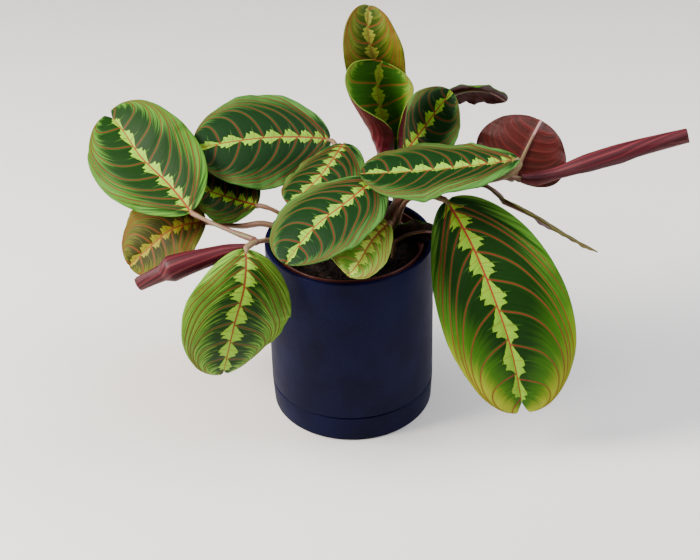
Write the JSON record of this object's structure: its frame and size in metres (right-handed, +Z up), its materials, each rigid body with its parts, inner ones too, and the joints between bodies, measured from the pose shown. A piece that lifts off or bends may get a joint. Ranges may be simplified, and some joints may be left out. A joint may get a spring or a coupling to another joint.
{
  "type": "potted prayer plant",
  "caption": "Red-veined prayer plant with patterned oval leaves, some still rolled, in a straight round cover pot that stands in a flush saucer.",
  "frame": {"origin": "middle of the saucer's flat underside", "axes": "+Z up, +X to the viewer's right, +Y away from the viewer"},
  "size_m": [0.3669, 0.1545, 0.2529],
  "materials": {
    "pot": "matte navy glaze",
    "saucer": "matte navy glaze",
    "grow_pot": "thin moulded dark brown plastic",
    "soil": "moist crumbly potting mix",
    "left_shoot": "satin green leaf with red veins and a maroon underside",
    "olive_leaf": "satin green leaf with red veins and a maroon underside",
    "small_left_leaf": "satin green leaf with red veins and a maroon underside",
    "back_left_leaf": "satin green leaf with red veins and a maroon underside",
    "middle_leaf": "satin green leaf with red veins and a maroon underside",
    "front_leaf": "satin green leaf with red veins and a maroon underside",
    "young_leaf": "satin green leaf with red veins and a maroon underside",
    "low_leaf": "satin green leaf with red veins and a maroon underside",
    "right_shoot": "satin green leaf with red veins and a maroon underside",
    "hanging_leaf": "satin green leaf with red veins and a maroon underside",
    "tall_leaf": "satin green leaf with red veins and a maroon underside",
    "funnel_leaf": "satin green leaf with red veins and a maroon underside",
    "back_right_leaf": "satin green leaf with red veins and a maroon underside",
    "back_leaf": "satin green leaf with red veins and a maroon underside"
  },
  "bodies": {
    "root": {"pot": "pot", "saucer": "saucer", "grow_pot": "grow_pot", "soil": "soil", "left_shoot": "left_shoot", "olive_leaf": "olive_leaf", "small_left_leaf": "small_left_leaf", "back_left_leaf": "back_left_leaf", "middle_leaf": "middle_leaf", "front_leaf": "front_leaf", "young_leaf": "young_leaf", "low_leaf": "low_leaf", "right_shoot": "right_shoot", "hanging_leaf": "hanging_leaf", "tall_leaf": "tall_leaf", "funnel_leaf": "funnel_leaf", "back_right_leaf": "back_right_leaf", "back_leaf": "back_leaf"}
  },
  "joints": []
}
